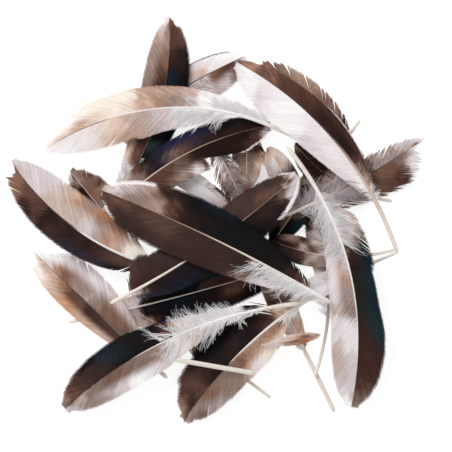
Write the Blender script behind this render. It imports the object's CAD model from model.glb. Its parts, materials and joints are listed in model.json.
# %% [markdown]
# # A heap of duck wing feathers
#
# The object is a loose heap of uncut quills: the wing feathers of a duck, as they are sold to be
# cut into quill pens. A feather is a hollow horn barrel that runs on as a solid, pithy rachis, with
# a vane on each side. A vane is not a sheet. It is a row of hundreds of thin barbs that hook into
# each other, and low on the feather, where nothing hooks them, they curl loose as down.
#
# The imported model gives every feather's place, curve and outline. This lesson keeps those and
# builds what the eye looks for: single barbs, splits, frayed edges, down, and the colours.

# %% Load the frame
import json

import bmesh
import bpy
import numpy as np
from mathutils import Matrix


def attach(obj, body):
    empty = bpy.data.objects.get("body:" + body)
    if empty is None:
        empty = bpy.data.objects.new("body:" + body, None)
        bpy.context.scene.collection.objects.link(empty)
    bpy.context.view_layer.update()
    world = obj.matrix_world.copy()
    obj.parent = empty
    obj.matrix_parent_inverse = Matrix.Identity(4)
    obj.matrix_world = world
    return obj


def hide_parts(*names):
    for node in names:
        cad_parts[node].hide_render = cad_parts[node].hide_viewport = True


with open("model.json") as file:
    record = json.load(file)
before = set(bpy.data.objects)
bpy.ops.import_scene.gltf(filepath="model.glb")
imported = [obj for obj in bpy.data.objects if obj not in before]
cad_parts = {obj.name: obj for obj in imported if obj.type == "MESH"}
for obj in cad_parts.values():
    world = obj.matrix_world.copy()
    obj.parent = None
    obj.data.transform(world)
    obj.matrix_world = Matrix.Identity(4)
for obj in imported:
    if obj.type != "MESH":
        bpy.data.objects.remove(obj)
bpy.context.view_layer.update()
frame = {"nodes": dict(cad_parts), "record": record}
MM = 0.001


# %% [markdown]
# ## Camera, floor and light
#
# The heap is looked at from straight above. A long lens far away keeps the feathers from leaning
# outwards. The floor is a light table, white paper that glows, so the shadows on it stay faint. The
# light is a white room with one large soft lamp from the upper left, which keeps the vanes' satin
# shading.

# %% Camera
VIEW_WIDTH = 226 * MM
VIEW_CENTRE = (4.4 * MM, -2.2 * MM)
CAMERA_HEIGHT = 1.2
HEAP_MIDDLE = 10 * MM
bpy.ops.object.camera_add(location=(*VIEW_CENTRE, CAMERA_HEIGHT), rotation=(0, 0, 0))
camera = bpy.context.object
camera.data.sensor_width = 36
camera.data.lens = camera.data.sensor_width * (CAMERA_HEIGHT - HEAP_MIDDLE) / VIEW_WIDTH
camera.data.clip_end = 10
bpy.context.scene.camera = camera
bpy.context.scene.view_settings.view_transform = "Standard"
print("lens in mm:", round(camera.data.lens))


# %% Colours from hex
def colour(code):
    """An sRGB hex value as linear red, green, blue and alpha."""
    values = [int(code[k:k + 2], 16) / 255 for k in (1, 3, 5)]
    return [v / 12.92 if v <= 0.04045 else ((v + 0.055) / 1.055) ** 2.4 for v in values] + [1]


def add(tree, kind, settings=(), links=()):
    """One shader node, with its settings by name or input, and its links by input."""
    made = tree.nodes.new(kind)
    for key, value in dict(settings).items():
        if isinstance(key, str) and hasattr(made, key):
            setattr(made, key, value)
        else:
            made.inputs[key].default_value = value
    for key, source in dict(links).items():
        tree.links.new(source, made.inputs[key])
    return made


# %% Floor and light
def finish(name):
    """A new material and its empty node tree."""
    material = bpy.data.materials.new(name)
    material.use_nodes = True
    material.node_tree.nodes.clear()
    return material, material.node_tree


bpy.ops.object.select_all(action="DESELECT")
bpy.ops.mesh.primitive_plane_add(size=6)
floor = bpy.context.object
floor.name = "floor"
paper, tree = finish("white_light_table")
lit = add(tree, "ShaderNodeBsdfPrincipled", {
    "Base Color": colour("#a0a0a0"), "Roughness": 0.9,
    "Emission Color": (1, 1, 1, 1), "Emission Strength": 0.8,
})
add(tree, "ShaderNodeOutputMaterial", links={"Surface": lit.outputs[0]})
floor.data.materials.append(paper)

ROOM_BRIGHTNESS = 0.6
world = bpy.data.worlds.new("white_room")
bpy.context.scene.world = world
world.use_nodes = True
room = world.node_tree.nodes["Background"]
room.inputs["Color"].default_value = (1, 1, 1, 1)
room.inputs["Strength"].default_value = ROOM_BRIGHTNESS

LAMP_PLACE = (-0.45, 0.5, 0.8)
LAMP_TILT = (-0.58, -0.46, 0)
LAMP_SIZE = 0.5
LAMP_WATTS = 6.2
bpy.ops.object.light_add(type="AREA", location=LAMP_PLACE)
lamp = bpy.context.object
lamp.data.size = LAMP_SIZE
lamp.data.energy = LAMP_WATTS
lamp.rotation_euler = LAMP_TILT
print("floor, room and one lamp")

# %% [markdown]
# ## Reading a feather's curve and outline
#
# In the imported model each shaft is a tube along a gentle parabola, and each vane is a thin sheet
# through it. Fitting a parabola to the tube's vertices gives the line that everything on the
# feather follows. Measuring the sheet's vertices against that line gives the width of the vane on
# each side, and how far it curves down across its width.


# %% Centre line
BEFORE_QUILL, PAST_TIP = -0.05, 1.08
LINE_SAMPLES = 1600
BARREL_ENDS, TIP_STARTS = 0.18, 0.97


def cad_points(node):
    """The distinct vertices of a CAD node, in mm."""
    mesh = frame["nodes"][node].data
    points = np.zeros(len(mesh.vertices) * 3, np.float32)
    mesh.vertices.foreach_get("co", points)
    return np.unique(np.round(points.reshape(-1, 3) / MM, 3), axis=0)


class Line:
    """A feather's centre line, by distance in mm from its quill end."""

    def __init__(self, points):
        flat = points[:, :2] - points[:, :2].mean(0)
        reach = flat @ np.linalg.svd(flat, full_matrices=False)[2][0]
        share = (reach - reach.min()) / np.ptp(reach)
        self.fit(points, share)
        thick = np.linalg.norm(points - self.at_share(share), axis=1)
        if thick[share < 0.2].mean() < thick[share > 0.8].mean():
            share = 1 - share
            self.fit(points, share)
        self.shares = np.linspace(BEFORE_QUILL, PAST_TIP, LINE_SAMPLES)
        steps = np.linalg.norm(np.diff(self.at_share(self.shares), axis=0), axis=1)
        run = np.concatenate([[0], np.cumsum(steps)])
        self.run = run - np.interp(0, self.shares, run)
        self.length = float(np.interp(1, self.shares, self.run))
        thick = np.linalg.norm(points - self.at_share(share), axis=1)
        self.quill = float(np.median(thick[share < BARREL_ENDS]))
        self.tip = float(np.median(thick[share > TIP_STARTS]))

    def fit(self, points, share):
        self.curve = [np.polyfit(share, points[:, k], 2) for k in range(3)]

    def at_share(self, share):
        return np.stack([np.polyval(c, share) for c in self.curve], -1)

    def at(self, distance):
        """Place, unit vector along and unit vector to the left, at distances in mm."""
        share = np.interp(distance, self.run, self.shares)
        ahead = np.stack([np.polyval(np.polyder(c), share) for c in self.curve], -1)
        ahead /= np.linalg.norm(ahead, axis=-1, keepdims=True)
        left = np.stack([-ahead[..., 1], ahead[..., 0], np.zeros_like(share)], -1)
        left /= np.linalg.norm(left, axis=-1, keepdims=True)
        return self.at_share(share), ahead, left

    def measure(self, points):
        """Distance along, distance to the left and height over the line, of points in mm."""
        on_line = self.at_share(self.shares)
        apart = points[:, None, :2] - on_line[None, :, :2]
        nearest = np.argmin((apart ** 2).sum(-1), axis=1)
        distance = self.run[nearest]
        place, _, left = self.at(distance)
        return distance, ((points - place) * left).sum(-1), points[:, 2] - place[:, 2]


# %% Vane outline
SECTION_POINTS = 10


class Outline:
    """Widths of a vane on both sides of its line, and its rise across the width."""

    def __init__(self, line, points):
        distance, across, height = line.measure(points)
        order = np.argsort(distance).reshape(-1, SECTION_POINTS)
        self.stations = distance[order].mean(1)
        self.left = across[order].max(1)
        self.right = -across[order].min(1)
        self.camber = np.polyfit(across, height, 2)
        self.start, self.end = self.stations[0], self.stations[-1]

    def width(self, distance, side):
        """Width in mm at distances in mm, with side 1 for left and -1 for right."""
        widths = self.left if side > 0 else self.right
        return np.interp(distance, self.stations, widths, left=0, right=0)

    def rise(self, across):
        return np.polyval(self.camber, across)


FEATHERS = {}
for node_name in frame["nodes"]:
    if node_name.endswith("_vane"):
        name = node_name[:-len("_vane")]
        line = Line(cad_points(name + "_shaft"))
        FEATHERS[name] = (line, Outline(line, cad_points(node_name)))
longest = max(line.length for line, _ in FEATHERS.values())
print(len(FEATHERS), "feathers, the longest", round(longest), "mm")

# %% [markdown]
# ## Sticks
#
# A barb, a strand of down and a shaft are all a stick: a straight bar with rings along it. Each
# kind of stick is made once from a cylinder whose long edges are subdivided. Then it is copied, and
# every copy is carried onto its own path.


# %% Stick blanks
class Stick:
    """A bar of unit length and radius along +Z, as vertices, quads and end faces."""

    def __init__(self, sides, cuts):
        bpy.ops.object.select_all(action="DESELECT")
        bpy.ops.mesh.primitive_cylinder_add(vertices=sides, radius=1, depth=1, location=(0, 0, 0.5))
        bar = bpy.context.object
        bpy.ops.object.transform_apply(location=True)
        bpy.ops.object.mode_set(mode="EDIT")
        bpy.ops.mesh.select_mode(type="EDGE")
        bpy.ops.mesh.select_all(action="DESELECT")
        work = bmesh.from_edit_mesh(bar.data)
        for edge in work.edges:
            edge.select = abs(edge.verts[0].co.z - edge.verts[1].co.z) > 0.5
        bmesh.update_edit_mesh(bar.data)
        bpy.ops.mesh.subdivide(number_cuts=cuts)
        bpy.ops.object.mode_set(mode="OBJECT")
        self.points = np.array([v.co[:] for v in bar.data.vertices])
        self.faces = [list(p.vertices) for p in bar.data.polygons]
        self.rings = cuts + 2
        self.ring = np.round(self.points[:, 2] * (cuts + 1)).astype(int)
        bpy.data.objects.remove(bar)


BARB_STICK = Stick(sides=3, cuts=7)
DOWN_STICK = Stick(sides=3, cuts=14)
SHAFT_STICK = Stick(sides=14, cuts=60)
print("sticks with", BARB_STICK.rings, DOWN_STICK.rings, SHAFT_STICK.rings, "rings")


# %% Carrying sticks onto paths
UP = np.array([0, 0, 1.0])
TRIANGLE_HALF_WIDTH = 0.866
TINY = 1e-9
FULL_TURN = 6.28


def unit(vectors):
    """The same vectors at length 1."""
    return vectors / np.maximum(np.linalg.norm(vectors, axis=-1, keepdims=True), TINY)


def carried(stick, paths, widths, heights):
    """Copies of a three-sided stick along paths (sticks, rings, xyz), ridge upwards, in mm."""
    ahead = unit(np.gradient(paths, axis=1))
    out = unit(np.cross(UP, ahead))
    over = np.cross(ahead, out)
    x = (stick.points[:, 0] / TRIANGLE_HALF_WIDTH / 2)[None, :, None]
    y = stick.points[:, 1][None, :, None]
    r = stick.ring
    points = paths[:, r] + out[:, r] * x * widths[:, r, None] + over[:, r] * y * heights[:, r, None]
    count, size = paths.shape[0], len(stick.points)
    faces = [[v + k * size for v in face] for k in range(count) for face in stick.faces]
    return points.reshape(-1, 3), faces


def piece(name, points, faces, material, body, places=None, tones=None):
    """A finished piece from points in mm, riding on its body, with its pattern attributes."""
    mesh = bpy.data.meshes.new(name)
    mesh.from_pydata((points * MM).tolist(), [], faces)
    if places is not None:
        layer = mesh.attributes.new("place", "FLOAT_VECTOR", "POINT")
        layer.data.foreach_set("vector", np.ascontiguousarray(places, np.float32).ravel())
    if tones is not None:
        layer = mesh.attributes.new("tone", "FLOAT", "POINT")
        layer.data.foreach_set("value", np.ascontiguousarray(tones, np.float32).ravel())
    mesh.materials.append(material)
    made = bpy.data.objects.new(name, mesh)
    bpy.context.scene.collection.objects.link(made)
    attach(made, body)
    return made


# %% [markdown]
# ## Barbs
#
# A barb leaves the rachis at an angle and leans further towards the tip as it nears the edge of the
# vane. Each is walked outwards in small steps until it meets the outline, so the vane keeps the
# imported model's outline, but for the few stretches that a feather's look makes slimmer or fuller.
# Then the real disorder goes in: barbs cling in clumps that part a little at the edge, and a few
# splits open as V-shaped notches. All lengths are in mm, and angles in degrees from the shaft.


# %% Barb paths
STEP = 0.4
LONGEST_BARB = 44
BARB_ROOT = 0.15
NARROWEST_VANE = 0.01


def walk(outline, side, roots, lean_root, lean_edge):
    """Paths of barbs from the rachis to the outline: (along, across), one row per barb."""
    along, across = [roots], [np.full_like(roots, BARB_ROOT)]
    for _ in range(int(LONGEST_BARB / STEP)):
        width = np.maximum(outline.width(along[-1], side), NARROWEST_VANE)
        share = np.clip(across[-1] / width, 0, 1)
        lean = lean_root * (1 - share) + lean_edge * share
        along.append(along[-1] + STEP * np.cos(lean))
        across.append(across[-1] + STEP * np.sin(lean))
    along, across = np.array(along).T, np.array(across).T
    within = (across < outline.width(along, side)) & (along < outline.end)
    ends = np.where(within.all(1), within.shape[1] - 1, np.argmin(within, axis=1))
    return along, across, ends


def even(rows, ends, rings):
    """Rows cut off at their ends and sampled again at evenly spaced rings."""
    spots = ends[:, None] * np.linspace(0, 1, rings)[None, :]
    low = np.minimum(spots.astype(int), rows.shape[1] - 2)
    part = spots - low
    here = np.arange(len(rows))[:, None]
    return rows[here, low] * (1 - part) + rows[here, low + 1] * part


CLUMP_SIZES = (2.5, 8)
CLINGS = (0.3, 1.6)
LOOSE_CLING = 0.5


def partings(roots, loose, look, side, rng):
    """How far each barb's tip is pushed towards the feather's tip by clumps and splits."""
    push = np.zeros_like(roots)
    start = roots[0]
    while start < roots[-1]:
        size = rng.uniform(*CLUMP_SIZES)
        clump = (roots >= start) & (roots < start + size)
        cling = (look.get("clumps", 0.05) + LOOSE_CLING * loose[clump]) * rng.uniform(*CLINGS)
        push[clump] -= (roots[clump] - start - size / 2) * cling
        start += size
    span = roots[-1] - roots[0]
    for at, gap in look.get("splits_left" if side > 0 else "splits_right", ()):
        apart = roots - (roots[0] + at * span)
        push += np.where(apart > 0, 1, -1) * gap / 2 * np.exp(-np.abs(apart) / (2.5 * gap + 2))
    return push


PITCH = 0.42
ROOT_SCATTER = 0.08
FIRST_ROOT, LAST_ROOT = 0.02, 0.988
LEAN_SHARES = [0, 0.25, 0.7, 0.93, 1]
LEANS = (62, 46, 36, 20, -4)
EDGE_LEAN = 0.68
FULL_REACH = [(0, 1), (1, 1)]
PARTING_CURVE = 1.7
CURL, CURL_TURN, STRAY, FLUTTER = 0.9, 4, 0.8, 0.5
BROAD, RUFFLE_CURVE = 14, 1.4
LONG_WAVE, SHORT_WAVE, SHORT_SHARE = 7.3, 3.1, 0.6
BARB_LIFT = 0.12
ROOM_BELOW = 0.15
BARB_THICK = 0.05
OVERLAP, THINNEST, WIDEST, LOOSE_THINNING = 1.25, 0.12, 0.6, 0.4
TAPER_SHARES, TAPER = [0, 0.88, 1], [1, 0.95, 0.35]


def barb_widths(along, across):
    """Widths that close the gaps between neighbouring barbs, at every ring."""
    aim = unit(np.stack([np.gradient(along, axis=1), np.gradient(across, axis=1)], -1))
    gap = np.stack([np.diff(along, axis=0), np.diff(across, axis=0)], -1)
    apart = np.abs(gap[..., 0] * aim[:-1, :, 1] - gap[..., 1] * aim[:-1, :, 0])
    before = np.concatenate([apart[:1], apart])
    after = np.concatenate([apart, apart[-1:]])
    return np.clip(OVERLAP * np.maximum(before, after), THINNEST, WIDEST)


def barbs(line, outline, side, look, rng):
    """One side's barbs: points, faces, places and tones."""
    hand = "left" if side > 0 else "right"
    first = max(outline.start / line.length + FIRST_ROOT, look.get("bare_" + hand, 0))
    roots = np.arange(first * line.length, line.length * LAST_ROOT, PITCH)
    roots = roots + rng.uniform(-ROOT_SCATTER, ROOT_SCATTER, len(roots))
    share = (roots - roots[0]) / (roots[-1] - roots[0])
    lean = np.radians(np.interp(share, LEAN_SHARES, look.get("lean", LEANS)))
    along, across, ends = walk(outline, side, roots, lean, lean * EDGE_LEAN)
    reach = np.interp(roots / line.length, *zip(*look.get("slim_" + hand, FULL_REACH)))
    ends = ends * reach * (1 - rng.uniform(0, look.get("fray", 0.03), len(roots)))
    q = np.linspace(0, 1, BARB_STICK.rings)[None, :]
    along = even(along, ends, BARB_STICK.rings)
    across = even(across, ends, BARB_STICK.rings)

    loose = np.clip(1 - share / look.get("loose", 0.12), 0, 1)
    along = along + partings(roots, loose, look, side, rng)[:, None] * q ** PARTING_CURVE
    loose = loose[:, None]
    phase = rng.uniform(0, FULL_TURN, (len(roots), 1))
    along = along + loose * q * CURL * np.sin(CURL_TURN * q + phase)
    along = along + loose * q * rng.normal(0, STRAY, phase.shape)
    ruffle = look.get("ruffle", 0.35) * (np.maximum(across, 0) / BROAD) ** RUFFLE_CURVE
    wave = np.sin(along / LONG_WAVE + phase[0])
    wave = wave + SHORT_SHARE * np.sin(along / SHORT_WAVE + phase[-1] + side)
    height = outline.rise(side * across) + ruffle * wave
    height = height + loose * q * rng.normal(0, FLUTTER, phase.shape)
    place, _, left = line.at(along)
    paths = place + left * (side * across)[..., None] + UP * (height + BARB_LIFT)[..., None]
    paths[..., 2] = np.maximum(paths[..., 2], ROOM_BELOW)

    widths = barb_widths(along, across) * (1 - LOOSE_THINNING * loose)
    taper = np.interp(q, TAPER_SHARES, TAPER)
    points, faces = carried(BARB_STICK, paths, widths * taper, np.full_like(widths, BARB_THICK))
    ring = BARB_STICK.ring
    places = np.stack([
        (along / line.length)[:, ring],
        np.broadcast_to(side * q * reach[:, None], along.shape)[:, ring],
        np.broadcast_to(roots[:, None] * MM, along.shape)[:, ring],
    ], -1).reshape(-1, 3)
    tones = np.repeat(rng.uniform(0, 1, len(roots)), len(BARB_STICK.points))
    return points, faces, places, tones


# %% [markdown]
# ## Down
#
# Low on the feather the barbs have no hooks. They are longer, finer and wavy, and stand a little
# off the line of the vane, so that together they look like a small cloud. A tuft is (start, end,
# longest strand in mm, number of locks, sides), with start and end as shares of the feather.


# %% Down strands
STRANDS = 8
LOCK_LEAN, LOCK_BEND, LOCK_SIZES = (56, 11), (-0.15, 0.55), (0.45, 1.1)
ROOT_SPREAD, GATHER = 0.8, 0.6
STRAND_SIZES = (0.6, 1.05)
WAVE_DEPTHS, WAVE_RATES = (0.05, 0.45), (0.5, 1.0)
LEAN_SPREAD, END_STRAY, BEND_CURVE = 3, 0.3, 1.3
STRAND_LIFTS, LIFT_ARCH, DOWN_LIFT = (-0.2, 1.0), 2.2, 0.25
STRAND_ROOT, STRAND_THICK, STRAND_TAPER, FLATNESS = 0.2, 0.2, 0.65, 0.4
FLAT_PAST = 12


def down(line, outline, tuft, rng):
    """Locks of loose strands along part of the line: points, faces and tones."""
    first, last, reach, locks, sides = tuft
    middle = rng.uniform(first, last, locks) * line.length
    lean, bend = rng.normal(*LOCK_LEAN, locks), rng.normal(*LOCK_BEND, locks)
    size = rng.uniform(*LOCK_SIZES, locks)
    lock = np.repeat(np.arange(locks), STRANDS)
    count = len(lock)
    side = rng.choice(sides, locks)[lock][:, None]
    roots = middle[lock] + rng.normal(0, ROOT_SPREAD, count)
    length = reach * size[lock] * rng.uniform(*STRAND_SIZES, count)
    q = np.linspace(0, 1, DOWN_STICK.rings)[None, :]
    depth, rate, phase = [rng.uniform(*bounds, count)[:, None]
                          for bounds in (WAVE_DEPTHS, WAVE_RATES, (0, FULL_TURN))]
    wiggle = depth * q * np.sin(length[:, None] * q * rate + phase)
    aim = np.radians(lean[lock] + rng.normal(0, LEAN_SPREAD, count))[:, None]
    aim = aim + bend[lock][:, None] * q ** BEND_CURVE
    aim = aim + rng.normal(0, END_STRAY, count)[:, None] * q ** 3 + wiggle
    step = length[:, None] / (DOWN_STICK.rings - 1)
    along = roots[:, None] + np.cumsum(step * np.cos(aim), axis=1)
    along = along - GATHER * (roots - middle[lock])[:, None] * q
    across = STRAND_ROOT + np.cumsum(step * np.sin(aim), axis=1)
    lift = rng.uniform(*STRAND_LIFTS, count)[:, None] * np.sin(LIFT_ARCH * q)
    height = outline.rise(side * np.clip(across, 0, FLAT_PAST)) + lift + DOWN_LIFT
    place, _, left = line.at(along)
    paths = place + left * (side * across)[..., None] + UP * height[..., None]
    paths[..., 2] = np.maximum(paths[..., 2], ROOM_BELOW)
    thick = np.broadcast_to(STRAND_THICK * (1 - STRAND_TAPER * q), along.shape)
    points, faces = carried(DOWN_STICK, paths, thick, thick * FLATNESS)
    return points, faces, np.repeat(rng.uniform(0, 1, count), len(DOWN_STICK.points))


# %% [markdown]
# ## Shafts
#
# The quill barrel is round horn with a blunt, rounded end. Past the first barbs it turns into the
# rachis, which is flatter, has a groove along its belly and tapers evenly to almost nothing.


# %% Shaft pieces
BARREL_SHARE, RACHIS_TIP_SHARE, RACHIS_THINNEST = 0.88, 0.6, 0.14
TAPER_CURVE = 1.7
END_ROUNDING, END_OPENING = 1.6, 0.35
RACHIS_BLEND = 8
RACHIS_NARROW, RACHIS_FLAT = 0.18, 0.12
GROOVE_HALF_WIDTH, GROOVE_DEPTH = 0.5, 0.35


def shaft(line, vane_start):
    """The shaft's points and faces, with its place along the feather, from the stick."""
    x, y, share = SHAFT_STICK.points.T
    distance = share * line.length
    past = np.clip((distance - vane_start) / max(line.length - vane_start, 1), 0, 1)
    thin = max(line.tip * RACHIS_TIP_SHARE, RACHIS_THINNEST)
    radius = thin + (BARREL_SHARE * line.quill - thin) * (1 - past) ** TAPER_CURVE
    blunt = np.clip(distance / (END_ROUNDING * line.quill), 0, 1)
    radius = radius * (END_OPENING + (1 - END_OPENING) * np.sqrt(1 - (1 - blunt) ** 2))
    rachis = np.clip((distance - vane_start) / RACHIS_BLEND + 0.5, 0, 1)
    groove = np.where((y < 0) & (np.abs(x) < GROOVE_HALF_WIDTH), GROOVE_DEPTH * rachis, 0)
    place, ahead, left = line.at(distance)
    over = np.cross(ahead, left)
    points = place + left * (x * radius * (1 - RACHIS_NARROW * rachis))[:, None]
    points = points + over * ((y * (1 - RACHIS_FLAT * rachis) + groove) * radius)[:, None]
    places = np.stack([share, np.abs(x), past], -1)
    return points, SHAFT_STICK.faces, places


print("barb, down and shaft makers ready")

# %% [markdown]
# ## Finishes
#
# All of a feather is keratin, the stuff of horn and nails. The barrel is bare keratin: smooth,
# milky and a little see-through, so it reads as a glossy cream with long darker streaks of dry pith
# inside. A vane scatters light from thousands of tiny ribs, so it is satin. Its colour lies in
# zones along the feather, different on its two sides, and the blue, violet and teal of the wing
# patch come from the structure of the barbs, which gives them a sheen.


# %% Horn
KERATIN_INDEX = 1.54
HORN_ROUGHNESS, HORN_SHINE, HORN_CLARITY = 0.3, 0.35, 0.08
PITH_COLOUR, PITH_STRENGTH = "#cbab86", 0.3
PITH_STRETCH, PITH_SCALE, PITH_EDGES = (26, 1.3, 0), 2.0, (0.5, 0.66)


def stops(ramp, rows, blend="EASE"):
    """Sets a colour ramp's stops from (position, hex or grey value) rows."""
    ramp.color_ramp.interpolation = blend
    elements = ramp.color_ramp.elements
    while len(elements) > 1:
        elements.remove(elements[-1])
    for k, (at, shade) in enumerate(rows):
        element = elements[0] if k == 0 else elements.new(at)
        element.position = at
        element.color = colour(shade) if isinstance(shade, str) else (shade, shade, shade, 1)


SHADES = {
    "milk": "#fcfafa", "snow": "#f4f0f0", "pearl": "#e6dfe0", "mist": "#dcd3d4", "lilac": "#cfc5c7",
    "ash": "#b3a5a3", "mushroom": "#a59088", "stone": "#95847c", "taupe": "#7d6a61",
    "cream": "#f0e6dc", "sand": "#dfcdc0", "almond": "#d2b9ad", "oat": "#c4b3ab", "fawn": "#c6ab9b",
    "tan": "#b5937f", "buff": "#a27a62", "clay": "#8a6c5f", "bark": "#6b5046", "rosewood": "#5e453e",
    "brown": "#523a33", "mocha": "#48322d", "cocoa": "#3d2925", "umber": "#2f1f1b", "sepia": "#21161a",
    "soot": "#150e10", "ink": "#0a0709", "navy": "#161d2a", "slate": "#262f3a", "teal": "#1d3944",
    "petrol": "#2a393c", "moss": "#2c2e29", "violet": "#2e2750", "plum": "#3b2f39",
    "horn": "#f4ede2", "camel": "#c39d80",
}


def zones(words):
    """Ramp rows from words such as "0 snow, 45 brown": percent of the length, then shade."""
    pairs = [part.split() for part in words.split(",")]
    return [(float(percent) / 100, SHADES[shade]) for percent, shade in pairs]


def horn(name, words):
    """Keratin of a shaft, from colour zones along it."""
    material, tree = finish(name)
    place = add(tree, "ShaderNodeAttribute", {"attribute_name": "place"})
    parts = add(tree, "ShaderNodeSeparateXYZ", links={0: place.outputs["Vector"]})
    ramp = add(tree, "ShaderNodeValToRGB", links={0: parts.outputs["X"]})
    stops(ramp, zones(words))
    pith_place = add(tree, "ShaderNodeVectorMath", {"operation": "MULTIPLY", 1: PITH_STRETCH},
                     {0: place.outputs["Vector"]})
    pith = add(tree, "ShaderNodeTexNoise", {"Scale": PITH_SCALE, "Detail": 2},
               {"Vector": pith_place.outputs[0]})
    streak = add(tree, "ShaderNodeMapRange", {1: PITH_EDGES[0], 2: PITH_EDGES[1], 3: 0.0, 4: PITH_STRENGTH},
                 {0: pith.outputs["Fac"]})
    tint = add(tree, "ShaderNodeMix", {"data_type": "RGBA", 7: colour(PITH_COLOUR)},
               {0: streak.outputs[0], 6: ramp.outputs[0]})
    keratin = add(tree, "ShaderNodeBsdfPrincipled", {
        "Roughness": HORN_ROUGHNESS, "IOR": KERATIN_INDEX, "Specular IOR Level": HORN_SHINE,
        "Transmission Weight": HORN_CLARITY,
    }, {"Base Color": tint.outputs[2]})
    add(tree, "ShaderNodeOutputMaterial", links={"Surface": keratin.outputs[0]})
    return material


# %% Vanes
DRIFT_SIZE, ZONE_DRIFT, ZONE_SHIFT, BARB_JITTER = 6.25 * MM, 0.14, -0.085, 0.03
RIM_START, RIM_FULL = 0.3, 0.75
FLECK_SHARE, FLECK_START, FLECK_FULL, FLECK_STRENGTH = 0.6, 0.36, 0.68, 0.75
STREAK_SIZE, STREAK_DEPTH = 1.5 * MM, 1.4
GRAIN_SIZE, GRAIN_DEPTH = 0.9 * MM, 0.5
BLOTCH_SIZE, BLOTCH_DEPTH = 6 * MM, 0.4
BARB_DEPTH, DARKENING = 0.16, -0.08
DEEPER, RICHER = 1.18, 1.04
PALE_START, PALE_FULL, CALMING = 0.35, 0.8, 0.7
VANE_ROUGHNESS = 0.45


def zone(tree, value, rows):
    """The output of a colour ramp over a value, from words or from (position, grey) rows."""
    ramp = add(tree, "ShaderNodeValToRGB", links={0: value})
    stops(ramp, zones(rows) if isinstance(rows, str) else rows, "LINEAR")
    return ramp.outputs[0]


def zoned(tree, look, along, across, signed):
    """The vane's own colour: zones along its core and its rim, on each side of the shaft."""
    out = add(tree, "ShaderNodeMath", {"operation": "ABSOLUTE"}, {0: signed})
    rim = add(tree, "ShaderNodeMapRange", {"interpolation_type": "SMOOTHSTEP", 1: RIM_START, 2: RIM_FULL},
              {0: out.outputs[0]})
    halves = []
    for hand in ("right", "left"):
        core_zones = zone(tree, along, look[hand])
        rim_zones = zone(tree, along, look.get(hand + "_rim", look[hand]))
        halves.append(add(tree, "ShaderNodeMix", {"data_type": "RGBA"},
                          {0: rim.outputs[0], 6: core_zones, 7: rim_zones}).outputs[2])
    is_left = add(tree, "ShaderNodeMath", {"operation": "GREATER_THAN", 1: 0.5}, {0: across})
    return add(tree, "ShaderNodeMix", {"data_type": "RGBA"},
               {0: is_left.outputs[0], 6: halves[0], 7: halves[1]}).outputs[2]


def patched(tree, shade, patches, along, across, where):
    """The colour with a feather's patches laid over it, solid or flecked."""
    for along_rows, across_rows, patch_shade, fleck_size in patches:
        amount = add(tree, "ShaderNodeMath", {"operation": "MULTIPLY"},
                     {0: zone(tree, along, along_rows), 1: zone(tree, across, across_rows)}).outputs[0]
        if fleck_size:
            scale = 1 / (FLECK_SHARE * fleck_size * MM)
            fleck = add(tree, "ShaderNodeTexNoise", {"Scale": scale, "Detail": 3}, {"Vector": where})
            sharp = add(tree, "ShaderNodeMapRange",
                        {1: FLECK_START, 2: FLECK_FULL, 4: FLECK_STRENGTH}, {0: fleck.outputs["Fac"]})
            amount = add(tree, "ShaderNodeMath", {"operation": "MULTIPLY"},
                         {0: amount, 1: sharp.outputs[0]}).outputs[0]
        shade = add(tree, "ShaderNodeMix", {"data_type": "RGBA", 7: colour(SHADES[patch_shade])},
                    {0: amount, 6: shade}).outputs[2]
    return shade


def mottled(tree, shade, place, root, tone, where):
    """The colour made uneven, as worn vanes are: barb streaks, grain and blotches, calmer where pale."""
    ribs = add(tree, "ShaderNodeCombineXYZ", links={0: root})
    rib_lines = add(tree, "ShaderNodeVectorMath", {"operation": "MULTIPLY_ADD", 1: (1 / STREAK_SIZE, 0, 0)},
                    {0: ribs.outputs[0], 2: place})
    streaks = add(tree, "ShaderNodeTexNoise", {"Scale": 1.0, "Detail": 3, "Roughness": 0.75},
                  {"Vector": rib_lines.outputs[0]})
    grain = add(tree, "ShaderNodeTexNoise", {"Scale": 1 / GRAIN_SIZE, "Detail": 2, "Roughness": 0.6},
                {"Vector": where})
    blotches = add(tree, "ShaderNodeTexNoise", {"Scale": 1 / BLOTCH_SIZE, "Detail": 2}, {"Vector": where})
    strength = add(tree, "ShaderNodeValue")
    strength.outputs[0].default_value = DARKENING
    for texture, depth in ((grain, GRAIN_DEPTH), (blotches, BLOTCH_DEPTH), (streaks, STREAK_DEPTH),
                           (tone, BARB_DEPTH)):
        strength = add(tree, "ShaderNodeMath", {"operation": "MULTIPLY_ADD", 1: depth},
                       {0: texture.outputs["Fac"], 2: strength.outputs[0]})
    deep = add(tree, "ShaderNodeGamma", {1: DEEPER}, {0: shade})
    toned = add(tree, "ShaderNodeHueSaturation", {"Saturation": RICHER},
                {"Value": strength.outputs[0], "Color": deep.outputs[0]})
    light = add(tree, "ShaderNodeRGBToBW", links={0: shade})
    pale = add(tree, "ShaderNodeMapRange", {1: PALE_START, 2: PALE_FULL, 3: 0.0, 4: CALMING},
               {0: light.outputs[0]})
    return add(tree, "ShaderNodeMix", {"data_type": "RGBA"},
               {0: pale.outputs[0], 6: toned.outputs[0], 7: shade}).outputs[2]


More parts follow.
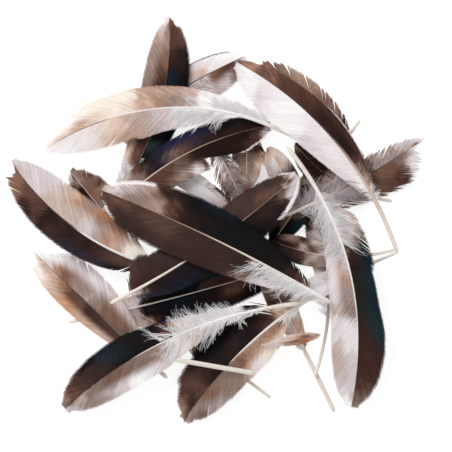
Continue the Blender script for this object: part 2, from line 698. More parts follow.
def keratin_vane(name, look):
    """A vane's finish: colour zones along its core and rim on each side, and patches over them."""
    material, tree = finish(name)
    place = add(tree, "ShaderNodeAttribute", {"attribute_name": "place"}).outputs["Vector"]
    parts = add(tree, "ShaderNodeSeparateXYZ", links={0: place})
    tone = add(tree, "ShaderNodeAttribute", {"attribute_name": "tone"})
    where = add(tree, "ShaderNodeTexCoord").outputs["Object"]
    cloud = add(tree, "ShaderNodeTexNoise", {"Scale": 1 / DRIFT_SIZE, "Detail": 4}, {"Vector": where})
    drift = add(tree, "ShaderNodeMath", {"operation": "MULTIPLY_ADD", 1: ZONE_DRIFT, 2: ZONE_SHIFT},
                {0: cloud.outputs["Fac"]})
    jitter = add(tree, "ShaderNodeMath", {"operation": "MULTIPLY_ADD", 1: BARB_JITTER},
                 {0: tone.outputs["Fac"], 2: drift.outputs[0]})
    along = add(tree, "ShaderNodeMath", {"operation": "ADD"},
                {0: parts.outputs["X"], 1: jitter.outputs[0]}).outputs[0]
    across = add(tree, "ShaderNodeMath", {"operation": "MULTIPLY_ADD", 1: 0.5, 2: 0.5},
                 {0: parts.outputs["Y"]}).outputs[0]
    shade = zoned(tree, look, along, across, parts.outputs["Y"])
    shade = patched(tree, shade, look.get("patches", ()), along, across, where)
    shade = mottled(tree, shade, place, parts.outputs["Z"], tone, where)
    keratin = add(tree, "ShaderNodeBsdfPrincipled", {
        "Roughness": VANE_ROUGHNESS, "IOR": KERATIN_INDEX, "Specular IOR Level": look.get("gloss", 0.07),
    }, {"Base Color": shade})
    add(tree, "ShaderNodeOutputMaterial", links={"Surface": keratin.outputs[0]})
    return material


# %% Fluff
FLUFF_DEPTH, FLUFF_DARKEST = 0.2, 0.9
FLUFF_ROUGHNESS, FLUFF_INDEX, FLUFF_SHINE, FLUFF_CLARITY = 0.6, 1.3, 0.2, 0.1


def fluff(name, shade):
    """Loose down: unhooked keratin hairs, matt and pale, which let some light through."""
    material, tree = finish(name)
    tone = add(tree, "ShaderNodeAttribute", {"attribute_name": "tone"})
    value = add(tree, "ShaderNodeMath", {"operation": "MULTIPLY_ADD", 1: FLUFF_DEPTH, 2: FLUFF_DARKEST},
                {0: tone.outputs["Fac"]})
    toned = add(tree, "ShaderNodeHueSaturation", {"Color": colour(SHADES[shade])},
                {"Value": value.outputs[0]})
    keratin = add(tree, "ShaderNodeBsdfPrincipled", {
        "Roughness": FLUFF_ROUGHNESS, "IOR": FLUFF_INDEX, "Specular IOR Level": FLUFF_SHINE,
        "Transmission Weight": FLUFF_CLARITY,
    }, {"Base Color": toned.outputs[0]})
    add(tree, "ShaderNodeOutputMaterial", links={"Surface": keratin.outputs[0]})
    return material


# %% [markdown]
# ## What each feather looks like
#
# Colour zones are words, such as "0 snow, 45 brown": percent of the length from the quill end, and
# a shade. "left" and "right" hold the zones of the two sides, "left_rim" and "right_rim" those
# nearer the edge, and "shaft" those of the shaft. A patch is a band along the feather, a strip
# across it (0 is the right edge, 0.5 the shaft, 1 the left edge), a shade, and the size of its
# flecks in mm, or 0 for a solid patch.
#
# The other words shape the barbs. "slim" draws a stretch of a side in or out, as (share of the
# length, share of the width) rows, and "bare" is the share of the length below which a side has no
# barbs. "splits" are the notches. "clumps", "fray", "ruffle" and "loose" say how untidy the vane is,
# "lean" turns its barbs, "gloss" is its shine, and "down" lists its tufts.

# %% Looks
BOTH = [(0, 1), (1, 1)]
LEFT_EDGE, RIGHT_EDGE = [(0.95, 0), (0.97, 1)], [(0.03, 1), (0.05, 0)]
LEFT_SIDE, RIGHT_SIDE = [(0.5, 0), (0.52, 1)], [(0.48, 1), (0.5, 0)]


def band(start, end, soft=0.04):
    """Ramp rows that are 1 between start and end."""
    return [(max(start - soft, 0), 0), (start, 1), (end, 1), (min(end + soft, 1), 0)]


LOOKS = {
    "pale_hidden": dict(
        left="0 snow, 76 milk, 81 milk, 84 oat, 88 pearl, 95 mist, 100 lilac",
        left_rim="0 snow, 78 milk, 82 milk, 85 umber, 89 mocha, 93 lilac",
        right="0 pearl, 80 snow, 90 mist, 100 lilac",
        right_rim="77 pearl, 88 lilac, 100 ash",
        shaft="0 horn, 20 snow, 70 pearl, 90 stone"),
    "white_north": dict(
        left="0 snow, 65 oat, 72 almond, 78 pearl, 100 milk",
        left_rim="0 pearl, 68 mist, 76 pearl, 84 snow, 100 milk",
        right="0 pearl, 60 mushroom, 70 stone, 78 clay, 86 bark, 92 rosewood, 100 mist",
        right_rim="0 pearl, 65 oat, 74 ash, 84 lilac, 90 taupe, 100 pearl",
        shaft="0 horn, 30 pearl, 55 mocha, 90 umber",
        patches=[(band(0.3, 0.92), LEFT_EDGE, "mocha", 0), (band(0.5, 0.72), RIGHT_SIDE, "snow", 1.0)],
        clumps=0.08),
    "split_brown": dict(
        left="0 ash, 30 brown, 80 bark, 100 taupe",
        right="20 lilac, 27 mocha, 35 bark, 41 clay, 46 brown, 53 mocha, 60 clay, 68 stone, 76 clay, "
              "83 bark, 93 taupe, 100 stone",
        right_rim="0 lilac, 24 bark, 30 brown, 40 taupe, 50 brown, 62 stone, 72 mushroom, 85 stone, "
                  "100 clay",
        shaft="0 horn, 30 oat, 60 umber", patches=[(band(0.35, 0.85), RIGHT_SIDE, "fawn", 0.9)],
        clumps=0.2, splits_right=[(0.3, 1.5), (0.5, 2), (0.7, 3), (0.84, 3.5)], ruffle=0.9, fray=0.16,
        slim_right=[(0, 1), (0.3, 0.85), (0.6, 0.78), (0.75, 0.9), (1, 1)]),
    "olive_small": dict(
        left="0 taupe, 69 rosewood, 74 umber, 81 umber, 85 taupe, 90 stone, 95 mocha, 100 umber",
        left_rim="0 taupe, 70 brown, 80 mocha, 88 bark, 93 oat, 100 snow",
        right="0 taupe, 55 stone, 65 clay, 75 clay, 83 taupe, 90 mushroom, 95 stone, 100 oat",
        right_rim="0 taupe, 68 mushroom, 73 rosewood, 82 taupe, 90 bark, 96 stone, 100 taupe",
        shaft="0 horn, 60 almond, 100 cream", patches=[(band(0.86, 1), RIGHT_EDGE, "pearl", 0)],
        splits_left=[(0.6, 1.5), (0.8, 1.5)], splits_right=[(0.7, 1.5), (0.85, 1)], clumps=0.15),
    "speckled_covert": dict(
        left="0 ash, 45 brown, 60 mocha, 70 rosewood, 76 bark, 83 stone, 100 lilac",
        left_rim="0 ash, 42 brown, 52 bark, 62 tan, 67 oat, 72 almond, 78 stone, 86 ash, 100 bark",
        right="0 ash, 45 mocha, 60 mocha, 68 brown, 75 taupe, 100 ash",
        shaft="0 horn, 50 sand, 100 fawn",
        patches=[(band(0.5, 0.95), BOTH, "almond", 0.8), (band(0.7, 1), LEFT_EDGE, "snow", 0)],
        slim_left=[(0, 1.6), (0.8, 1.5), (1, 1)]),
    "cream_round": dict(
        left="0 taupe, 70 stone, 76 lilac, 82 mist, 86 pearl, 92 sand, 96 oat, 100 fawn",
        left_rim="0 taupe, 72 ash, 82 oat, 90 oat, 96 almond, 100 stone",
        right="0 taupe, 66 mocha, 72 stone, 77 oat, 84 almond, 90 oat, 95 sand, 100 almond",
        right_rim="0 taupe, 66 cocoa, 71 soot, 75 taupe, 80 ash, 86 mist, 92 sand, 100 oat",
        shaft="0 horn, 60 cream, 100 sand"),
    "teal_short": dict(
        left="0 stone, 55 clay, 60 almond, 66 almond, 74 taupe, 79 umber, 88 soot, 100 ink",
        left_rim="0 stone, 60 petrol, 72 petrol, 80 teal, 88 soot, 100 ink",
        right="0 umber, 53 ash, 58 umber, 64 mocha, 69 mushroom, 75 lilac, 80 taupe, 85 bark, 89 soot, "
              "100 ink",
        right_rim="0 umber, 56 taupe, 60 umber, 75 taupe, 86 brown, 90 soot, 100 ink",
        shaft="0 horn, 40 sand, 90 almond"),
    "dark_east": dict(
        left="0 ash, 60 mushroom, 64 umber, 86 umber, 91 mocha, 96 clay, 100 rosewood",
        left_rim="0 ash, 60 mushroom, 64 cocoa, 70 brown, 80 mocha, 90 mocha, 95 bark, 100 stone",
        right="0 ash, 60 stone, 65 umber, 100 cocoa",
        shaft="0 horn, 30 cream, 60 umber", slim_left=[(0, 1), (0.74, 1), (0.8, 0.85), (1, 0.85)]),
    "navy_edge": dict(
        left="31 lilac, 35 umber, 39 soot, 45 sepia, 50 soot, 56 soot, 60 slate, 64 rosewood, 70 brown, "
             "80 mocha",
        left_rim="0 lilac, 31 oat, 35 umber, 45 soot, 57 soot, 62 navy, 67 slate, 73 petrol, 85 sepia",
        right="0 lilac, 31 ash, 35 sepia, 40 umber, 45 navy, 50 slate, 58 sepia, 66 umber, 70 mocha, "
              "75 bark, 80 bark, 86 umber",
        right_rim="0 lilac, 32 oat, 36 bark, 40 umber, 46 soot, 50 navy, 66 navy, 71 umber, 78 umber, "
                  "85 soot",
        shaft="0 horn, 20 cream, 70 cream, 85 bark",
        patches=[(band(0.38, 0.75), [(0.36, 0), (0.42, 1), (0.46, 0)], "teal", 1.5),
                 (band(0.4, 0.7), [(0.06, 0), (0.1, 1), (0.16, 0)], "violet", 0)]),
    "south_quill": dict(
        left="41 pearl, 45 clay, 50 sand, 62 mist, 72 mist, 75 soot, 79 stone, 84 mushroom, 90 bark",
        left_rim="0 pearl, 41 mist, 45 almond, 52 sand, 70 sand, 75 umber, 79 bark, 84 mushroom, "
                 "90 brown",
        right="0 pearl, 41 sand, 45 clay, 50 almond, 58 almond, 64 ash, 70 oat, 75 brown, 80 ash, "
              "90 brown",
        shaft="0 horn, 20 cream, 80 pearl, 100 ash"),
    "brown_quill": dict(
        left="0 pearl, 50 stone, 100 brown",
        right="0 pearl, 50 stone, 100 brown",
        shaft="0 horn, 20 cream, 80 oat"),
    "lavender_down": dict(
        left="0 pearl, 45 snow, 70 mist, 84 lilac, 88 taupe, 96 taupe, 100 soot",
        left_rim="0 pearl, 40 oat, 45 cream, 80 oat, 85 clay, 89 sepia, 94 umber, 100 brown",
        right="0 pearl, 60 ash, 80 stone, 88 sepia, 95 rosewood, 100 ink",
        shaft="0 horn, 50 stone", down=[(0.35, 0.8, 11, 45, (1, -1))], down_shade="lilac"),
    "white_gray": dict(
        left="0 lilac, 68 pearl, 78 snow, 88 lilac, 92 almond, 95 clay, 100 mushroom",
        left_rim="0 lilac, 68 mist, 76 snow, 90 snow, 95 almond, 100 ash",
        right="65 lilac, 74 pearl, 85 pearl, 94 lilac, 98 taupe, 100 mocha",
        shaft="0 horn, 50 snow, 100 sand"),
    "downy_brown": dict(
        left="0 ash, 33 bark, 36 taupe, 40 ash, 46 stone, 50 taupe, 55 mocha, 60 rosewood, 100 umber",
        left_rim="36 ash, 40 lilac, 46 stone, 50 ash, 57 mushroom, 61 bark, 100 umber",
        right="42 lilac, 46 ash, 50 clay, 55 bark, 60 rosewood, 100 umber",
        right_rim="0 ash, 35 mushroom, 40 taupe, 46 clay, 53 bark, 60 brown, 100 umber",
        shaft="0 horn, 40 almond, 70 mushroom", loose=0.6, clumps=0.2, fray=0.3,
        down=[(0.15, 0.65, 6, 40, (1, -1))], down_shade="ash"),
    "taupe_north": dict(
        left="0 snow, 24 lilac, 29 clay, 34 rosewood, 40 mocha, 68 brown, 74 bark, 80 clay, 86 stone, "
             "93 mushroom, 98 stone",
        left_rim="0 snow, 26 mist, 31 almond, 36 mushroom, 50 stone, 70 stone, 77 mushroom, "
                 "90 mushroom, 96 oat, 100 pearl",
        right="0 snow, 24 pearl, 30 mocha, 34 sepia, 40 petrol, 46 soot, 66 navy, 75 navy, 79 umber, "
              "84 mocha, 90 rosewood, 95 bark, 100 clay",
        right_rim="0 snow, 24 pearl, 32 umber, 45 ink, 76 ink, 80 umber, 85 umber, 90 rosewood, "
                  "96 bark, 100 clay",
        shaft="0 horn, 15 cream, 30 umber, 100 ink",
        patches=[(band(0.64, 0.72), [(0.22, 0), (0.34, 1), (0.45, 1), (0.49, 0)], "teal", 1.4),
                 (band(0.6, 0.88), [(0, 1), (0.05, 1), (0.09, 0)], "ink", 0)],
        splits_left=[(0.55, 1), (0.93, 1.5)], splits_right=[(0.96, 1)],
        slim_right=[(0, 1), (0.86, 1), (0.9, 0.85), (1, 0.85)], down=[(0.08, 0.32, 7, 24, (1, -1))]),
    "folded_brown": dict(
        left="0 ash, 60 stone, 66 ash, 70 stone, 75 rosewood, 80 cocoa, 86 umber, 92 sepia, 100 ink",
        left_rim="0 ash, 62 stone, 66 taupe, 70 mushroom, 75 cocoa, 80 umber, 86 sepia, 100 ink",
        right="60 ash, 65 taupe, 70 rosewood, 75 ash, 80 bark, 85 umber, 90 sepia, 95 umber, 100 ink",
        right_rim="0 ash, 66 oat, 71 taupe, 75 umber, 79 bark, 85 stone, 90 bark, 95 cocoa, 100 ink",
        shaft="0 horn, 60 almond, 90 cocoa", down=[(0.26, 0.5, 13, 70, (-1,))], down_shade="umber"),
    "tan_west": dict(
        left="0 lilac, 33 bark, 40 rosewood, 50 brown, 56 mocha, 62 bark, 71 bark, 76 clay, 80 tan, "
             "85 fawn, 90 almond, 95 sand, 100 snow",
        left_rim="0 snow, 35 almond, 50 fawn, 57 fawn, 66 camel, 71 camel, 76 fawn, 81 almond, 85 sand, "
                 "90 cream, 95 milk",
        right="0 lilac, 34 taupe, 40 clay, 50 clay, 56 stone, 60 ash, 66 mushroom, 71 mushroom, "
              "76 clay, 80 clay, 85 tan, 90 mist, 95 snow",
        right_rim="0 lilac, 36 oat, 42 lilac, 50 oat, 56 lilac, 61 mist, 66 pearl, 71 mist, 76 mist, "
                  "81 pearl, 86 snow, 100 milk",
        shaft="0 horn, 12 stone, 60 plum, 80 umber, 92 clay", splits_right=[(0.3, 1.5), (0.45, 2)],
        slim_right=[(0, 1), (0.6, 1), (0.7, 0.88), (0.8, 0.76), (1, 0.66)],
        down=[(0.12, 0.3, 6, 20, (1, -1))]),
    "gray_east": dict(
        left="12 ash, 17 stone, 35 stone, 41 mushroom, 50 umber, 60 cocoa, 64 ash, 80 ash, 87 oat, "
             "92 oat, 95 taupe, 100 mist",
        left_rim="0 lilac, 18 oat, 30 ash, 36 ash, 41 mist, 62 taupe, 65 oat, 71 lilac, 75 ash, 82 oat, "
                 "88 lilac, 100 pearl",
        right="10 ash, 15 bark, 30 taupe, 40 taupe, 46 oat, 56 bark, 61 bark, 66 clay, 75 clay, "
              "82 stone, 86 mushroom, 91 pearl, 100 snow",
        right_rim="0 stone, 12 taupe, 16 cocoa, 36 brown, 42 brown, 47 taupe, 53 ash, 60 taupe, "
                  "67 bark, 72 bark, 77 cocoa, 81 taupe, 85 mist, 100 snow",
        shaft="0 horn, 25 cream, 45 clay, 60 umber", patches=[(band(0.66, 0.82), BOTH, "bark", 0.9)],
        clumps=0.3, splits_left=[(0.62, 2.5), (0.75, 1.5)], splits_right=[(0.6, 1.5), (0.7, 2)],
        ruffle=0.9, fray=0.16, loose=0.45,
        slim_right=[(0, 1), (0.35, 1.3), (0.6, 1.25), (0.76, 1), (0.86, 0.6), (0.92, 0.3), (1, 0.3)],
        down=[(0.08, 0.5, 13, 60, (1, -1)), (0.1, 0.45, 10, 40, (1, -1))], down_shade="lilac"),
    "brown_south": dict(
        left="0 snow, 15 lilac, 20 clay, 26 tan, 33 tan, 37 fawn, 50 tan, 55 clay, 60 mushroom, "
             "66 stone, 80 clay, 86 stone, 95 mushroom, 100 stone",
        left_rim="0 snow, 15 oat, 20 almond, 27 sand, 40 cream, 50 pearl, 55 sand, 60 mushroom, "
                 "66 stone, 72 stone, 76 ash, 85 ash, 90 taupe, 96 stone, 100 ash",
        right="0 snow, 15 cream, 20 fawn, 25 bark, 29 mocha, 34 umber, 44 sepia, 50 umber, 62 soot, "
              "67 umber, 71 cocoa, 76 brown, 80 bark, 86 mocha, 90 mocha, 95 bark, 100 clay",
        right_rim="0 pearl, 15 fawn, 20 mocha, 26 umber, 31 soot, 66 ink, 71 umber, 76 mocha, "
                  "82 rosewood, 88 rosewood, 92 clay, 97 stone, 100 oat",
        shaft="0 horn, 12 cream, 45 snow, 56 sand, 60 soot",
        patches=[(band(0.16, 0.6), [(0.51, 0), (0.54, 1), (0.6, 1), (0.7, 0)], "bark", 0.9)],
        splits_left=[(0.72, 1.2), (0.86, 1.5)], splits_right=[(0.9, 1.5)],
        slim_left=[(0, 1.7), (0.2, 1.45), (0.3, 1.1), (0.4, 0.92), (0.58, 0.85), (1, 0.88)],
        slim_right=[(0, 1.4), (0.3, 1.25), (0.45, 1), (0.6, 1), (0.68, 0.88), (0.8, 0.88), (0.92, 0.8),
                    (1, 0.6)], down=[(0.08, 0.22, 6, 20, (1,))]),
    "violet": dict(
        left="0 snow, 20 lilac, 40 mushroom, 46 taupe, 50 sepia, 55 plum, 60 taupe, 64 rosewood, "
             "70 plum, 75 umber",
        left_rim="0 snow, 25 lilac, 40 oat, 45 bark, 50 soot, 54 navy, 59 violet, 75 violet, 80 sepia",
        right="0 clay, 50 bark, 56 bark, 60 taupe, 65 brown, 70 umber, 90 umber, 95 mocha, 98 clay, "
              "100 mist",
        right_rim="0 clay, 50 bark, 55 stone, 60 mushroom, 64 pearl, 66 pearl, 69 clay, 74 sepia, "
                  "82 umber, 90 cocoa, 95 rosewood, 100 lilac",
        shaft="0 horn, 15 sand, 40 almond, 75 tan, 90 brown",
        patches=[(band(0.84, 0.98), RIGHT_EDGE, "pearl", 0),
                 (band(0.56, 0.74), [(0.7, 0), (0.8, 1)], "slate", 0.8)],
        splits_left=[(0.5, 1), (0.56, 1.4), (0.62, 1.2), (0.68, 1.4), (0.8, 1)],
        splits_right=[(0.4, 1.5)], clumps=0.12, down=[(0.06, 0.26, 8, 24, (1, -1))],
        slim_right=[(0, 1), (0.56, 1), (0.6, 0.75), (0.64, 0.5), (0.68, 0.7), (0.74, 1), (1, 1)]),
    "dark_west": dict(
        left="0 lilac, 15 oat, 19 stone, 24 rosewood, 33 rosewood, 38 mocha, 45 umber, 50 cocoa, "
             "56 umber, 62 cocoa, 70 umber, 74 rosewood, 80 bark, 85 bark, 90 clay, 95 clay, 100 stone",
        left_rim="0 lilac, 12 umber, 15 stone, 20 mocha, 25 umber, 31 sepia, 36 plum, 56 plum, "
                 "62 mocha, 67 mocha, 70 umber, 74 rosewood, 79 cocoa, 84 bark, 88 clay",
        right="0 snow, 25 cream, 30 oat, 36 tan, 45 ash, 50 lilac, 57 oat, 76 oat, 82 lilac, 90 lilac, "
              "95 oat",
        right_rim="0 lilac, 16 cream, 20 oat, 25 mushroom, 29 clay, 40 clay, 46 buff, 50 tan, "
                  "56 mushroom, 61 tan, 66 fawn, 71 oat, 78 lilac",
        shaft="0 horn, 12 cream, 20 snow, 48 snow, 58 mocha, 100 ink",
        patches=[(band(0.34, 0.56), [(0.8, 0), (0.86, 1), (0.92, 0)], "slate", 1.2)],
        splits_left=[(0.62, 1), (0.75, 2), (0.8, 1.5), (0.86, 1.5)], splits_right=[(0.35, 1), (0.5, 1)],
        slim_left=[(0, 1), (0.82, 1), (0.87, 0.7), (0.92, 0.4), (1, 0.3)],
        down=[(0.1, 0.2, 6, 24, (1, -1))]),
    "tan_north": dict(
        left="0 pearl, 15 lilac, 29 ash, 35 lilac, 40 pearl, 45 pearl, 52 mist, 57 lilac, 62 oat, "
             "70 almond, 75 sand, 85 pearl, 100 cream",
        left_rim="0 pearl, 29 stone, 35 lilac, 40 mist, 50 mist, 54 lilac, 60 oat, 66 fawn, 75 fawn, "
                 "80 sand, 88 pearl, 100 snow",
        right="20 lilac, 25 snow, 38 snow, 42 mist, 45 oat, 50 mushroom, 56 tan, 61 fawn, 65 sand, "
              "72 cream, 81 sand, 85 fawn, 90 sand, 100 cream",
        right_rim="0 lilac, 22 mist, 30 snow, 37 snow, 41 mist, 45 almond, 50 fawn, 61 fawn, 64 cream, "
                  "80 cream, 90 milk, 100 snow",
        shaft="0 horn, 8 cream, 20 milk, 68 snow, 74 sand, 78 mocha, 94 mocha, 98 sand",
        patches=[(band(0.52, 0.68), LEFT_SIDE, "mushroom", 0.7),
                 (band(0.44, 0.56), RIGHT_SIDE, "stone", 0.7),
                 (band(0.82, 0.93), [(0.32, 0), (0.42, 1), (0.47, 1), (0.5, 0)], "fawn", 1.6)],
        bare_left=0.29,
        slim_left=[(0, 0.4), (0.3, 0.5), (0.36, 0.72), (0.44, 0.85), (0.5, 1), (0.55, 0.88), (0.61, 1),
                   (1, 1)], splits_left=[(0.5, 1.5), (0.75, 1.5)], splits_right=[(0.55, 1)], clumps=0.06,
        loose=0.25, down=[(0.14, 0.34, 10, 60, (-1,)), (0.28, 0.5, 13, 40, (1,))]),
    "blue_patch": dict(
        left="0 ash, 14 lilac, 25 pearl, 33 lilac, 40 oat, 45 mist, 50 pearl, 55 lilac, 60 mushroom, "
             "70 stone, 75 clay, 80 taupe, 90 stone, 95 oat, 100 taupe",
        left_rim="0 stone, 30 ash, 40 ash, 45 oat, 51 pearl, 57 lilac, 61 mist, 66 snow, 72 milk, "
                 "76 mist, 80 lilac, 86 ash, 91 stone, 95 ash, 100 lilac",
        right="0 stone, 20 taupe, 24 snow, 45 pearl, 48 almond, 51 clay, 54 umber, 60 sepia, 65 soot, "
              "73 soot, 77 umber, 81 cocoa, 86 mocha, 91 rosewood, 96 bark, 100 clay",
        right_rim="0 stone, 20 bark, 26 ash, 40 lilac, 46 lilac, 49 rosewood, 53 sepia, 60 ink, "
                  "68 soot, 73 navy, 79 slate, 83 umber, 88 mocha, 93 rosewood, 97 clay, 100 stone",
        shaft="0 horn, 10 cream, 20 milk, 52 snow, 64 sand, 70 umber, 100 ink",
        patches=[(band(0.7, 0.78), [(0.12, 0), (0.2, 1), (0.38, 1), (0.45, 0)], "teal", 1.6),
                 (band(0.56, 0.72), [(0.5, 0), (0.53, 1), (0.68, 0.8), (0.8, 0)], "bark", 0.7),
                 (band(0.8, 0.86), [(0.0, 1), (0.1, 1), (0.16, 0)], "ink", 0)],
        slim_left=[(0, 0.3), (0.28, 0.35), (0.38, 0.72), (0.45, 1), (1, 1)],
        slim_right=[(0, 0.4), (0.3, 0.5), (0.44, 0.72), (0.5, 0.9), (0.54, 1), (1, 1)], bare_right=0.2,
        bare_left=0.14, splits_right=[(0.83, 1.2)], splits_left=[(0.5, 1), (0.93, 1)], loose=0.3,
        down=[(0.24, 0.5, 11, 46, (-1,)), (0.14, 0.4, 7, 26, (1,)), (0.3, 0.55, 15, 22, (1, -1))]),
    "long_teal": dict(
        left="20 stone, 25 ash, 30 mist, 36 lilac, 40 mushroom, 44 mocha, 50 umber, 56 moss, 67 moss, "
             "76 mocha, 80 mocha, 90 brown, 95 bark, 100 stone",
        left_rim="0 ash, 22 mushroom, 30 ash, 35 oat, 40 stone, 43 sepia, 49 navy, 54 teal, 60 slate, "
                 "66 slate, 71 petrol, 77 petrol, 82 mocha, 91 brown, 96 taupe, 100 stone",
        right="20 bark, 24 mist, 29 snow, 36 milk, 42 pearl, 47 pearl, 51 almond, 55 fawn, 61 ash, "
              "66 mushroom, 69 pearl, 80 pearl, 85 lilac, 90 lilac, 95 mist, 100 oat",
        right_rim="0 mushroom, 21 ash, 25 snow, 30 lilac, 45 mist, 55 pearl, 60 mist, 66 oat, 70 mist, "
                  "76 mist, 80 oat, 87 oat, 95 lilac, 100 snow",
        shaft="0 horn, 10 cream, 25 milk, 80 snow, 92 lilac",
        patches=[(band(0.44, 0.72), [(0.6, 0), (0.7, 1), (0.85, 1), (0.95, 0)], "teal", 1.5),
                 (band(0.4, 0.68), [(0.24, 0), (0.34, 1), (0.48, 1), (0.5, 0)], "taupe", 0.6)],
        slim_left=[(0, 1), (0.4, 0.85), (0.44, 0.72), (0.54, 0.78), (0.6, 0.95), (0.66, 1), (1, 1)],
        clumps=0.05, loose=0.3,
        down=[(0.2, 0.4, 8, 34, (1,)), (0.2, 0.44, 12, 50, (-1,)), (0.22, 0.42, 15, 16, (1, -1))],
        down_shade="snow"),
    "tan_covert": dict(
        left="0 oat, 15 sand, 30 mist, 42 almond, 52 almond, 58 fawn, 64 tan, 70 clay, 80 clay, 87 ash, "
             "92 mushroom, 100 oat",
        left_rim="0 oat, 20 mist, 40 mist, 50 sand, 60 almond, 70 fawn, 85 almond, 100 oat",
        right="0 almond, 25 mist, 33 oat, 42 mushroom, 50 stone, 60 clay, 66 buff, 76 buff, 85 tan, "
              "95 fawn, 100 sand",
        right_rim="0 almond, 25 mist, 38 oat, 48 tan, 60 tan, 70 buff, 78 buff, 86 fawn, 95 almond, "
                  "100 sand",
        shaft="50 sand, 70 clay", loose=0.4, fray=0.15),
    "violet_teal": dict(
        left="0 clay, 10 bark, 15 cocoa, 40 cocoa, 70 mocha, 76 brown, 85 bark, 91 bark, 95 rosewood, "
             "98 oat, 100 mist",
        left_rim="0 cocoa, 15 brown, 21 cocoa, 40 cocoa, 70 brown, 76 mocha, 86 mocha, 90 cocoa, "
                 "95 rosewood, 98 oat, 100 lilac",
        right="10 sand, 14 ash, 18 umber, 25 sepia, 60 soot, 72 sepia, 76 umber, 85 cocoa, 90 taupe, "
              "95 bark, 98 lilac, 100 pearl",
        right_rim="10 ash, 14 umber, 20 umber, 30 soot, 45 soot, 60 ink, 76 soot, 81 sepia, 86 umber, "
                  "91 mocha, 94 lilac",
        shaft="0 horn, 10 cream, 45 sand, 80 clay",
        patches=[(band(0.86, 1), [(0.06, 1), (0.09, 0)], "snow", 0),
                 (band(0.95, 1), LEFT_EDGE, "snow", 0),
                 (band(0.08, 0.35), [(0.03, 1), (0.12, 1), (0.18, 0)], "teal", 1.5),
                 (band(0.1, 0.4), [(0.15, 0), (0.2, 1), (0.3, 0)], "violet", 1.5)], gloss=0.12,
        clumps=0.03, loose=0.02, lean=(98, 50, 36, 20, -4),
        slim_left=[(0, 2.8), (0.12, 2.4), (0.2, 1.2), (0.3, 1), (1, 1)]),
    "white_brown": dict(
        left="25 sand, 30 snow, 36 pearl, 62 pearl, 70 snow, 76 snow, 86 pearl, 95 snow",
        left_rim="0 sand, 27 lilac, 33 lilac, 40 mist, 62 mist, 66 snow, 75 snow, 82 pearl, 87 mist, "
                 "91 snow, 100 pearl",
        right="0 fawn, 25 tan, 30 fawn, 35 stone, 39 rosewood, 43 cocoa, 50 umber, 60 cocoa, 66 mocha, "
              "72 brown, 76 rosewood, 85 bark, 90 clay, 95 tan",
        right_rim="0 fawn, 26 oat, 31 stone, 36 bark, 41 brown, 51 brown, 56 mocha, 62 brown, 85 bark, "
                  "90 clay, 96 tan, 100 taupe",
        shaft="0 horn, 10 cream, 30 almond, 60 umber, 90 bark",
        patches=[(band(0.4, 0.86), [(0.03, 1), (0.06, 0)], "mist", 0)],
        slim_right=[(0, 1), (0.48, 1), (0.58, 0.88), (0.86, 0.88), (0.94, 1), (1, 1)],
        splits_right=[(0.12, 1)], clumps=0.03, down=[(0.22, 0.28, 5, 14, (1, -1))]),
    "satin_brown": dict(
        left="12 milk, 16 snow, 20 mist, 26 lilac, 30 ash, 34 bark, 38 umber, 44 cocoa, 60 cocoa, "
             "66 mocha, 71 rosewood, 80 rosewood, 86 brown, 90 bark, 95 bark, 100 clay",
        left_rim="0 milk, 11 snow, 15 mist, 25 pearl, 30 lilac, 35 ash, 39 bark, 45 mocha, 50 cocoa, "
                 "66 cocoa, 71 mocha, 76 mocha, 81 cocoa, 91 cocoa, 95 brown, 100 bark",
        right="0 sand, 10 almond, 14 bark, 18 mocha, 23 sepia, 33 soot, 50 soot, 60 sepia, 65 umber, "
              "70 cocoa, 74 bark, 78 mushroom, 82 mushroom, 86 stone, 91 stone, 95 ash, 100 pearl",
        right_rim="10 clay, 15 brown, 19 soot, 30 ink, 64 ink, 69 soot, 73 umber, 77 mocha, 81 bark, "
                  "85 mushroom, 91 ash, 95 pearl, 100 oat",
        shaft="0 cream, 10 milk, 30 cream, 50 sand, 62 tan, 80 clay, 95 brown",
        patches=[(band(0.5, 0.62), [(0.01, 1), (0.1, 1), (0.2, 0)], "navy", 0),
                 (band(0.86, 1), [(0.05, 1), (0.08, 0)], "snow", 0),
                 (band(0.97, 1), LEFT_EDGE, "snow", 0)], clumps=0.02, ruffle=0.15, loose=0.1, gloss=0.12,
        fray=0.015, slim_left=[(0, 0.9), (0.3, 1), (1, 1)],
        down=[(0.08, 0.28, 10, 40, (1,)), (0.1, 0.34, 14, 20, (1,))]),
}
BODY_OF = {n: b for b, nodes in frame["record"]["behaviour"]["bodies"].items() for n in nodes}

# %% Build every feather
faces_made = 0
for seed, (name, (line, outline)) in enumerate(sorted(FEATHERS.items())):
    look = LOOKS[name]
    rng = np.random.default_rng(seed)
    body = BODY_OF[name + "_shaft"]
    points, faces, places = shaft(line, outline.start)
    made = piece(name + "_quill", points, faces, horn(name + "_horn", look["shaft"]), body,
                 places)
    made.data.shade_smooth()
    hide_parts(name + "_shaft")

    parts = [barbs(line, outline, side, look, rng) for side in (1, -1)]
    offset = len(parts[0][0])
    faces = parts[0][1] + [[v + offset for v in face] for face in parts[1][1]]
    points, places, tones = [np.concatenate([p[k] for p in parts]) for k in (0, 2, 3)]
    vane = piece(name + "_barbs", points, faces, keratin_vane(name + "_keratin", look), body,
                 places, tones)
    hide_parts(name + "_vane")
    faces_made += len(faces)
    if "down" in look:
        fluff_finish = fluff(name + "_fluff", look.get("down_shade", "milk"))
        for number, tuft in enumerate(look["down"]):
            points, faces, tones = down(line, outline, tuft, rng)
            piece(f"{name}_down_{number}", points, faces, fluff_finish, body,
                  tones=tones)
            faces_made += len(faces)
print("feathers done,", faces_made, "faces")

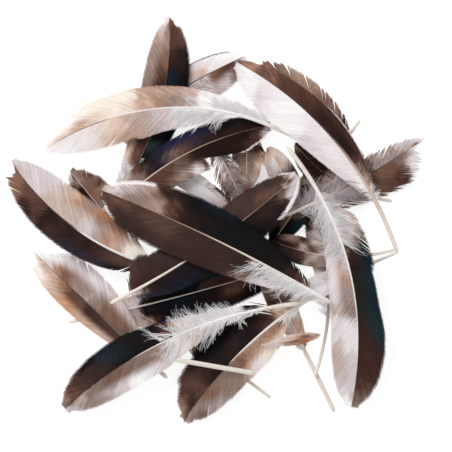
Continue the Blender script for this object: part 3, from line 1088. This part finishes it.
# %% Bare quill
bare = Line(cad_points("bare_quill"))
points, faces, places = shaft(bare, bare.length)
made = piece("bare_quill_horn", points, faces, horn("bare_quill_horn", "0 horn, 100 cream"),
             BODY_OF["bare_quill"], places)
made.data.shade_smooth()
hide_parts("bare_quill")
